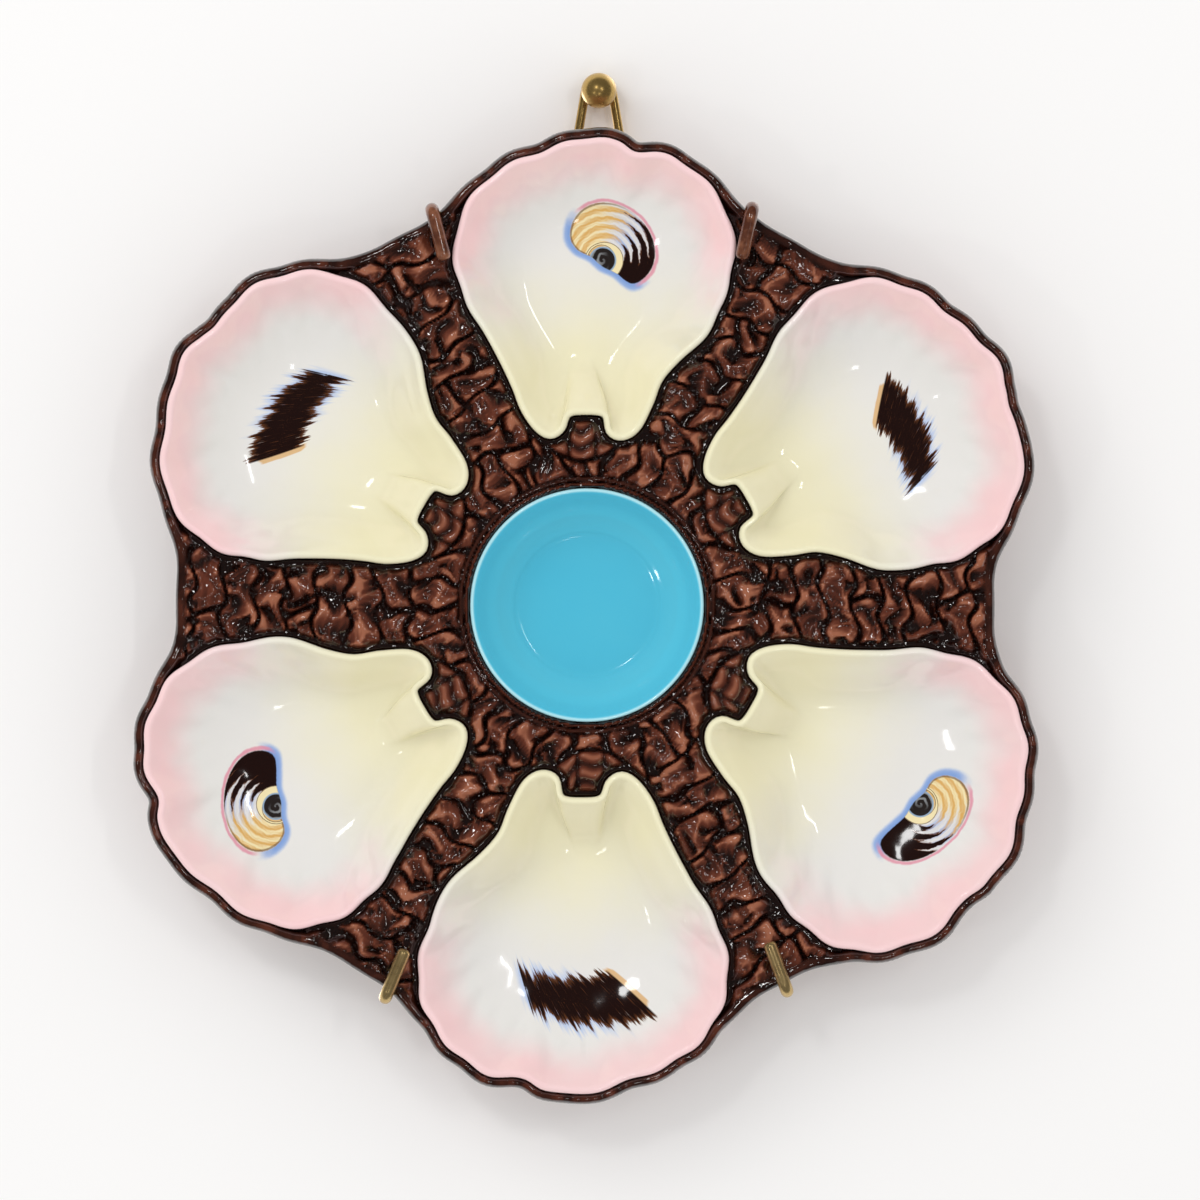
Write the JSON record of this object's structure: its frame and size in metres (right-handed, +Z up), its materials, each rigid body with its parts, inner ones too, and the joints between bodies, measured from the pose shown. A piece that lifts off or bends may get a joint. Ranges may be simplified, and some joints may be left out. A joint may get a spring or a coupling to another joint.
{
  "type": "oyster plate",
  "caption": "Glazed oyster plate with shell-shaped wells round a sauce cup, hung on a ball-headed wall peg by a sprung brass wire hanger.",
  "frame": {"origin": "axis of the wall peg, where its shank meets the wall", "axes": "+Y into the wall along the peg, -Y towards the viewer, +Z up, +X to the viewer's right"},
  "size_m": [0.2306, 0.0565, 0.264],
  "materials": {
    "brown_glaze": "gloss",
    "turquoise_glaze": "gloss",
    "shell_glaze": "gloss",
    "hanger_wire": "satin",
    "spring_steel": "satin",
    "soft_sleeve": "gloss",
    "metal_sleeve": "satin",
    "peg_brass": "satin"
  },
  "bodies": {
    "wall_peg": {"peg_ball": "peg_brass", "peg_shank": "peg_brass", "peg_collar": "peg_brass"},
    "hanger": {"upper_hanger_wire": "hanger_wire", "upper_left_hook_sleeve": "soft_sleeve", "upper_right_hook_sleeve": "soft_sleeve", "left_spring": "spring_steel", "right_spring": "spring_steel", "plate_body": "brown_glaze", "cup_glaze": "turquoise_glaze", "top_well_glaze": "shell_glaze", "upper_right_well_glaze": "shell_glaze", "lower_right_well_glaze": "shell_glaze", "bottom_well_glaze": "shell_glaze", "lower_left_well_glaze": "shell_glaze", "upper_left_well_glaze": "shell_glaze"},
    "lower_hooks": {"lower_hanger_wire": "hanger_wire", "lower_left_hook_sleeve": "metal_sleeve", "lower_right_hook_sleeve": "metal_sleeve"}
  },
  "joints": [
    {"name": "swing", "type": "hinge", "parent": "wall_peg", "child": "hanger", "pos_m": [0, 0, 0], "axis": [0, 1, 0], "range_deg": [-25, 25]},
    {"name": "hook_release", "type": "slide", "parent": "hanger", "child": "lower_hooks", "axis": [0, 0, -1], "range_m": [0, 0.012], "stiffness_N_per_m": 400, "springref_m": -0.02, "deforming": ["left_spring", "right_spring"]}
  ]
}
